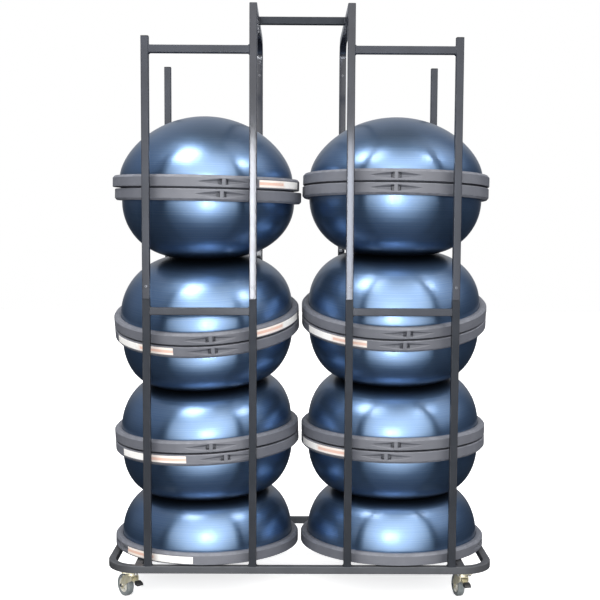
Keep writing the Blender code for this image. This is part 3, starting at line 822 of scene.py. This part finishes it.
def pedal_pad_mesh():
    """The moulded pad on the arm, with a ribbed tread."""
    build = Build()
    px, pz = PIVOT
    pad = (
        [(0.0362, 0.0582), (0.0390, 0.0560), (0.0518, 0.0549)]
        + arc(0.0532, 0.0590, 0.0040, -80, 50, 6)
        + [(0.0522, 0.0652), (0.0460, 0.0672), (0.0390, 0.0692), (0.0366, 0.0680)]
    )
    build.add(*outline_prism([(x - px, z - pz) for x, z in pad], -0.0112, 0.0112, 0.0014, SIDEWAYS, 3))
    for k in range(5):
        x = 0.0398 - px + 0.0030 * k
        z = 0.0691 - pz - 0.00082 * k
        sweep(build, square(0.0005, 0.0007, 0.0003, 2), [((x, -0.0094, z), X, Z, 0.0), ((x, 0.0094, z), X, Z, 0.0)])
    return build.mesh("brake_pad")


plate, plate_bolts = plate_mesh(), plate_bolts_mesh()
fork_braked, fork_plain = fork_mesh(True), fork_mesh(False)
axle, tyre, hub = axle_mesh(), tyre_mesh(), hub_mesh()
arm, pad = pedal_arm_mesh(), pedal_pad_mesh()
for name, (cx, cy, yaw) in CASTERS.items():
    still = Matrix.Translation((cx, cy, 0))
    swivel = still @ Matrix.Rotation(math.radians(yaw), 4, "Z")
    wheel_at = swivel @ Matrix.Translation((-TRAIL, 0, WHEEL_R))
    piece(f"top_plate_{name}", plate, ZINC, "rack", [f"caster_plate_{name}"], still, 40, True)
    piece(f"plate_bolts_{name}", plate_bolts, STEEL, "rack", (), still, 30, True)
    front = cy < 0
    piece(f"fork_{name}", fork_braked if front else fork_plain, ZINC, f"fork_{name}",
          [f"caster_fork_{name}"], swivel, 40, True)
    piece(f"axle_{name}", axle, STEEL, f"fork_{name}", [f"caster_axle_{name}"], wheel_at, 30, True)
    piece(f"tyre_{name}", tyre, RUBBER, f"wheel_{name}", [f"caster_wheel_{name}"], wheel_at, 50)
    piece(f"hub_{name}", hub, HUB, f"wheel_{name}", (), wheel_at, 35, True)
    if front:
        hinge = swivel @ Matrix.Translation((PIVOT[0], 0, PIVOT[1]))
        piece(f"brake_pad_{name}", pad, BLACK, f"pedal_{name}", [f"brake_pedal_{name}"], hinge, 40, True)
        piece(f"brake_arm_{name}", arm, ZINC, f"pedal_{name}", (), hinge, 40, True)


# ------------------------------------------------------------ balance trainers
SEAM = 0.0030           # how far the sole's outer edge stands back
GRIP_RIB, GRIP_LENGTH, GRIP_DEPTH = 0.0060, 0.080, 0.0105
GRIP_MID, GRIP_HALF, GRIP_END, GRIP_WELL = 0.0200, 0.0112, 0.0105, 0.0082


def grip_depth(angle, z):
    """How far the rim is scooped inwards at an angle from the grip's rib."""
    run = abs(angle) * RIM_R - GRIP_RIB
    if run < 0 or run > GRIP_LENGTH:
        return 0.0
    u = 1.0 - run / GRIP_LENGTH
    half = 0.0010 + (GRIP_HALF - 0.0010) * u ** 0.85
    q = (half - abs(z - GRIP_MID)) / half
    if q <= 0:
        return 0.0
    scoop = GRIP_DEPTH * u ** 0.8 * min(1.0, 1.25 * q)
    if run < GRIP_END:
        well = min(1.0, (GRIP_WELL - abs(z - GRIP_MID)) / 0.0011)
        if well > 0:
            scoop = max(scoop, 0.0205 * well * min(1.0, (GRIP_END - run) / 0.0012))
    return scoop


def platform_mesh():
    """A tray with a bevelled rim, two scooped hand grips and a recessed sole."""
    wall = [SEAM + 0.0025 + (0.034 - SEAM - 0.0025) * i / 36 for i in range(37)]
    profile, edge = [], []

    def row(r, z, e=0.0):
        profile.append((r, z))
        edge.append(e)

    for r, z in ((0.0, 0.0030), (0.0095, 0.0030), (0.0100, 0.0010), (0.0150, 0.0010), (0.0156, 0.0024),
                 (0.0400, 0.0024), (0.0408, 0.0006), (0.0520, 0.0006), (0.0528, 0.0018), (0.150, 0.0018),
                 (0.1508, 0.0006), (0.158, 0.0006), (0.1588, 0.0018), (0.262, 0.0018), (0.2630, 0.0), (0.2980, 0.0),
                 (0.2990, 0.0006), (0.2996, SEAM), (0.3220, SEAM)):
        row(r, z)
    for i in range(5):
        t = math.radians(-90 + 90 * i / 4)
        row(0.3225 + 0.0025 * math.cos(t), SEAM + 0.0025 + 0.0025 * math.sin(t), 1.0 if 0 < i < 4 else 0.3)
    first = len(profile)
    for z in wall[1:]:
        row(0.325, z)
    last = len(profile)
    edge[-1] = 0.8
    for r, z, e in ((0.32475, 0.0347, 1.0), (0.3242, 0.0353, 0.7), (0.3192, 0.0411, 0.5), (0.3186, 0.0416, 1.0), (0.3178, 0.0419, 0.9),
                    (0.3168, 0.0420, 0.3), (0.3072, 0.0420, 0.0), (0.3062, 0.0416, 0.5), (0.3056, 0.0409, 0.4), (0.3040, 0.0406, 0.0),
                    (0.3022, 0.0404, 0.3), (0.3012, 0.0395, 0.4), (0.3010, 0.0380, 0.0), (0.3010, 0.0200, 0.0), (0.3010, TRAY_T, 0.0), (0.0, TRAY_T, 0.0)):
        row(r, z, e)

    # columns: coarse all round, fine over the two grips
    rib, far = GRIP_RIB / RIM_R, (GRIP_RIB + GRIP_LENGTH) / RIM_R
    near = [rib + 0.0006 + (far - rib) * (i / 52) ** 1.3 for i in range(53)]
    half = sorted([0.0, rib * 0.5, rib - 0.0001] + near)
    quarter = half + [half[-1] + (math.pi / 2 - half[-1]) * i / 26 for i in range(1, 27)]
    angles = []
    for a in quarter:
        angles += [a, -a, math.pi - a, math.pi + a]
    angles = sorted({round(a % (2 * math.pi), 7) for a in angles})
    cleaned = []
    for a in angles:
        if not cleaned or a - cleaned[-1] > 1e-5:
            cleaned.append(a)
    angles = cleaned
    n = len(angles)
    verts, worn, rows = [], [], []
    for i, (r, z) in enumerate(profile):
        if r == 0.0:
            rows.append([len(verts)])
            verts.append((0, 0, z))
            worn.append(0.0)
            continue
        rows.append(list(range(len(verts), len(verts) + n)))
        for a in angles:
            e, q = edge[i], r
            if first <= i < last:
                near_front = a if a < math.pi else a - 2 * math.pi
                near_back = a - math.pi
                offset = near_front if abs(near_front) < abs(near_back) else near_back
                q = r - grip_depth(offset, z)
            # angle 0 is the front, and turns to the right
            verts.append((q * math.sin(a), -q * math.cos(a), z))
            worn.append(e)
    faces = []
    for one, two in zip(rows, rows[1:]):
        for k in range(n):
            l = (k + 1) % n
            if len(one) == 1:
                faces.append((one[0], two[k], two[l]))
            elif len(two) == 1:
                faces.append((one[k], two[0], one[l]))
            else:
                faces.append((one[k], one[l], two[l], two[k]))
    build = Build()
    build.add(verts, faces, edge=worn)
    return build.mesh("platform")


def lean_matrix(lean):
    return (
        Matrix.Rotation(math.radians(lean[0]), 3, "Y")
        @ Matrix.Rotation(math.radians(lean[1]), 3, "X")
    )


def dome_mesh(height, flat, rim, lean, up, end, end_lean):
    """The vinyl shell, square to its own rim and pressed flat on its neighbour."""
    n, m = 144, 72
    profile = []
    if flat is not None:
        profile += [(flat * i / 6, height) for i in range(6)]
    for i in range(m + 1):
        a = math.pi / 2 * i / m
        if flat is None:
            profile.append((DOME_R * math.sin(a), height * max(0.0, math.cos(a)) ** 1.24))
        else:
            profile.append((flat + (DOME_R - flat) * math.sin(a), height * math.cos(a)))
    profile[-1] = (DOME_R, 0.0)
    # a soft bead where the vinyl enters the tray, then the skirt
    profile += [(DOME_R, -0.004), (DOME_R - 0.0002, -SKIRT + 0.002), (DOME_R - 0.0002, -SKIRT)]
    build = Build()
    lathe(build, profile, n)
    length = max(build.kept["arc"])
    build.kept["arc"] = [length - v for v in build.kept["arc"]]
    moved = []
    for x, y, z in build.verts:
        t = 0.0 if flat is None else min(max(z / height, 0.0), 1.0)
        turn = lean_matrix([a + (b - a) * t for a, b in zip(lean, end_lean)])
        if t > 0:
            moved.append(rim.lerp(end, t) + turn @ Vector((x, y, 0)))
        else:
            moved.append(rim + turn @ Vector((x, y, up * z)))
    # press: 0 to 1 towards the contact patch, used for the painted shade there; on domes that face down it starts
    # lower and reaches over a third of the height
    first, reach = (0.82, 0.16) if up > 0 else (0.66, 0.32)
    build.kept["press"] = [0.0 if flat is None else min(max((z / height - first) / reach, 0.0), 1.0) for _, _, z in build.verts]
    build.verts = [tuple(v) for v in moved]
    return build.mesh("dome")


def strip_mesh(foot, turn, up, start, stop):
    """A thin paper strip that follows the rim, with eased edges."""
    build = Build()
    n, rows = 56, [(0.0072, 0.00002), (0.0076, 0.00016), (0.0110, 0.0002), (0.0190, 0.0002),
                   (0.0270, 0.0002), (0.0304, 0.00016), (0.0308, 0.00002)]
    verts, edge, along, across = [], [], [], []
    for i in range(n + 1):
        a = math.radians(start + (stop - start) * i / n)
        end = min(i, n - i)
        for j, (h, lift) in enumerate(rows):
            r = RIM_R + (lift if end else 0.00002)
            verts.append(foot + turn @ Vector((r * math.sin(a), -r * math.cos(a), up * h)))
            edge.append(1.0 if end < 1 or j in (0, 6) else 0.0)
            along.append(i / n if up > 0 else 1.0 - i / n)
            across.append((h - 0.0072) / 0.0236)
    k = len(rows)
    faces = [(i * k + j, (i + 1) * k + j, (i + 1) * k + j + 1, i * k + j + 1) for i in range(n) for j in range(k - 1)]
    build.add(verts, faces, edge=edge, along=along, across=across)
    return build.mesh("strip")


PLATFORM = platform_mesh()
for side, s in (("left", -1), ("right", 1)):
    flats = [(RING_Z1 + GAP, (0.0, 0.0), 0.0, 1)]
    for z, roll, nod, slide in PAIRS[side]:
        flats.append((z, (roll, nod), slide, -1))
        flats.append((z, (roll, nod), slide, 1))
    rims, places = [], []
    for i, (z, lean, slide, up) in enumerate(flats):
        turn = lean_matrix(lean)
        axis = turn @ Z * up
        foot = Vector((s * STACK_X + SLIP.get((side, i + 1), 0.0), STACK_Y + slide, z))
        if i:
            foot += axis * GAP / 2
        rims.append(foot + axis * RIM_T)
        places.append((foot, turn))
        body = f"trainer_{side}_{i + 1}"
        angle = math.radians(GRIPS[side][i])
        if up > 0:
            turned = turn @ Matrix.Rotation(angle, 3, "Z")
        else:
            turned = turn @ FLIP @ Matrix.Rotation(-angle, 3, "Z")
        piece(f"rim_tray_{side}_{i + 1}", PLATFORM, PLASTIC, body, [f"platform_{side}_{i + 1}"],
              Matrix.Translation(foot) @ turned.to_4x4(), 48, True)
    for i, (z, lean, slide, up) in enumerate(flats):
        body = f"trainer_{side}_{i + 1}"
        if i == 6:
            shape = dome_mesh(TOP_DOME[side], None, rims[i], lean, up, rims[i], lean)
        else:
            other = i + 1 if up > 0 else i - 1
            height, flat = CONTACTS[side][i // 2 if up > 0 else other // 2]
            end_lean = [(a + b) / 2 for a, b in zip(lean, flats[other][1])]
            end = (rims[i] + rims[other]) / 2
            end.z = height
            end -= lean_matrix(end_lean) @ Vector((0, 0, up * GAP * 0.7))
            shape = dome_mesh(abs(height - rims[i].z), flat, rims[i], lean, up, end, end_lean)
        piece(f"vinyl_dome_{side}_{i + 1}", shape, VINYL, body, [f"dome_{side}_{i + 1}"])
    for where, number, start, stop in STRIPS:
        if where == side:
            foot, turn = places[number - 1]
            piece(f"paper_strip_{side}_{number}", strip_mesh(foot, turn, flats[number - 1][3], start, stop), PAPER,
                  f"trainer_{side}_{number}")


# ---------------------------------------------------------------------- camera
pitch, yaw, roll = 0.0802105, 0.0061342, 0.0049968
ahead = Vector((math.cos(pitch) * math.sin(yaw), math.cos(pitch) * math.cos(yaw), -math.sin(pitch)))
right0 = Vector((math.cos(yaw), -math.sin(yaw), 0))
up0 = Vector((math.sin(pitch) * math.sin(yaw), math.sin(pitch) * math.cos(yaw), math.cos(pitch)))
right = right0 * math.cos(roll) + up0 * math.sin(roll)
above = up0 * math.cos(roll) - right0 * math.sin(roll)
lens = bpy.data.cameras.new("camera")
camera = bpy.data.objects.new("camera", lens)
bpy.context.scene.collection.objects.link(camera)
rotation = Matrix((right, above, -ahead)).transposed().to_4x4()
camera.matrix_world = Matrix.Translation((-0.0249435, -3.825725, 1.208485)) @ rotation
lens.sensor_width = 36.0
lens.lens = 1080.380 / 600 * 36.0
lens.shift_y = 25.379 / 600
lens.clip_end = 100.0
bpy.context.scene.camera = camera
bpy.context.scene.view_settings.view_transform = "Standard"

# ---------------------------------------------------------------------- lights
CENTRE = Vector((0.0, -0.3, 1.1))


def softbox(name, azimuth, elevation, distance, size, power, colour=(1, 1, 1), target=CENTRE, spread=180):
    """A square or oblong area light that faces the rack. Azimuth 0 is the front, right positive."""
    a, e = math.radians(azimuth), math.radians(elevation)
    at = target + distance * Vector((math.sin(a) * math.cos(e), -math.cos(a) * math.cos(e), math.sin(e)))
    light = bpy.data.lights.new(name, "AREA")
    light.shape = "RECTANGLE"
    light.size, light.size_y = size
    light.energy = power
    light.color = colour
    light.spread = math.radians(spread)
    obj = bpy.data.objects.new(name, light)
    bpy.context.scene.collection.objects.link(obj)
    obj.matrix_world = Matrix.Translation(at) @ (at - target).to_track_quat("Z", "Y").to_matrix().to_4x4()
    return obj


softbox("key_left", -46, 60, 4.2, (1.6, 1.9), 50)
softbox("top_left", -44, 56, 1.7, (0.8, 0.8), 18, target=Vector((-0.33, -0.25, 1.65)))
softbox("key_right", 63, 47, 4.2, (0.6, 0.85), 34)
softbox("strip_left", -4.9, 2.5, 3.7, (0.07, 1.15), 25.0, (0.90, 0.93, 1.0))
softbox("strip_right", 5.1, 2.5, 3.7, (0.16, 1.15), 17.0, (0.80, 0.86, 1.0))
for name, azimuth in (("back_left", -140), ("back_right", 140)):
    # these only lift the back: they don't show in the gloss
    softbox(name, azimuth, 35, 4.5, (2.0, 2.0), 60).visible_glossy = False

world = bpy.data.worlds.new("studio")
bpy.context.scene.world = world
world.use_nodes = True
tree = world.node_tree
sky = tree.nodes["Background"]
coords = tree.nodes.new("ShaderNodeTexCoord")
split = tree.nodes.new("ShaderNodeSeparateXYZ")
tree.links.new(coords.outputs["Generated"], split.inputs["Vector"])
height = tree.nodes.new("ShaderNodeMapRange")
height.inputs["From Min"].default_value = -1.0
tree.links.new(split.outputs["Z"], height.inputs["Value"])
ramp = tree.nodes.new("ShaderNodeValToRGB")
tree.links.new(height.outputs["Result"], ramp.inputs["Fac"])
ramp.color_ramp.elements[0].position = 0.0
ramp.color_ramp.elements[0].color = (0.012, 0.015, 0.021, 1)
ramp.color_ramp.elements[1].position = 0.98
ramp.color_ramp.elements[1].color = (0.20, 0.155, 0.11, 1)
for place, shade in ((0.20, 0.022), (0.42, 0.040), (0.60, 0.09), (0.82, 0.17)):
    ramp.color_ramp.elements.new(place).color = (0.82 * shade, shade, 1.38 * shade, 1)
# soft glows: a wide one in front, a faint one on the ground before it, faint ones beside and behind
GLOWS = (
    ((0.0, -1.0, 0.364), 0.50, 2.95, (1.03, 1.0, 0.94)),
    ((0.0, -1.0, -1.20), 0.50, 0.13, (0.85, 1.0, 1.30)),
    ((-1.0, 0.3, 0.75), 0.70, 0.17, (0.95, 1.0, 1.08)),
    ((0.9, -0.3, 0.95), 0.75, 0.90, (1.0, 1.0, 1.0)),
    ((0.0, 1.0, 0.60), 0.66, 0.36, (1.0, 1.0, 1.0)),
)
total = ramp.outputs["Color"]
for way, start, most, hue in GLOWS:
    facing = tree.nodes.new("ShaderNodeVectorMath")
    facing.operation = "DOT_PRODUCT"
    facing.inputs[1].default_value = Vector(way).normalized()
    tree.links.new(coords.outputs["Generated"], facing.inputs[0])
    glow = tree.nodes.new("ShaderNodeMapRange")
    glow.interpolation_type = "SMOOTHSTEP"
    for key, value in (("From Min", start), ("From Max", 1.0), ("To Min", 0.0), ("To Max", most)):
        glow.inputs[key].default_value = value
    tree.links.new(facing.outputs["Value"], glow.inputs["Value"])
    tint = tree.nodes.new("ShaderNodeVectorMath")
    tint.operation = "SCALE"
    tint.inputs[0].default_value = hue
    tree.links.new(glow.outputs["Result"], tint.inputs["Scale"])
    added = tree.nodes.new("ShaderNodeVectorMath")
    added.operation = "ADD"
    tree.links.new(total, added.inputs[0])
    tree.links.new(tint.outputs["Vector"], added.inputs[1])
    total = added.outputs["Vector"]
tree.links.new(total, sky.inputs["Color"])
white = tree.nodes.new("ShaderNodeBackground")
white.inputs["Color"].default_value = (1, 1, 1, 1)
rays = tree.nodes.new("ShaderNodeLightPath")
blend = tree.nodes.new("ShaderNodeMixShader")
tree.links.new(rays.outputs["Is Camera Ray"], blend.inputs["Fac"])
tree.links.new(sky.outputs["Background"], blend.inputs[1])
tree.links.new(white.outputs["Background"], blend.inputs[2])
tree.links.new(blend.outputs["Shader"], tree.nodes["World Output"].inputs["Surface"])

# ----------------------------------------------------------------------- floor
mesh = bpy.data.meshes.new("floor")
size = 14.0
mesh.from_pydata([(-size, -size, 0), (size, -size, 0), (size, size, 0), (-size, size, 0)], [], [(0, 1, 2, 3)])
floor = bpy.data.objects.new("floor", mesh)
bpy.context.scene.collection.objects.link(floor)
f = bpy.data.materials.new("floor")
f.use_nodes = True
t = f.node_tree
base = t.nodes["Principled BSDF"]
base.inputs["Roughness"].default_value = 0.9
base.inputs["Specular IOR Level"].default_value = 0.1
path = t.nodes.new("ShaderNodeLightPath")
shade = t.nodes.new("ShaderNodeMix")
shade.data_type = "RGBA"
shade.inputs[6].default_value = (0.40, 0.40, 0.41, 1)
shade.inputs[7].default_value = (0.93, 0.93, 0.93, 1)
t.links.new(path.outputs["Is Camera Ray"], shade.inputs["Factor"])
t.links.new(shade.outputs[2], base.inputs["Base Color"])
base.inputs["Emission Color"].default_value = (1, 1, 1, 1)
lift = t.nodes.new("ShaderNodeMath")
lift.operation = "MULTIPLY"
lift.inputs[1].default_value = 0.7
t.links.new(path.outputs["Is Camera Ray"], lift.inputs[0])
t.links.new(lift.outputs[0], base.inputs["Emission Strength"])
mesh.materials.append(f)
floor.visible_glossy = False
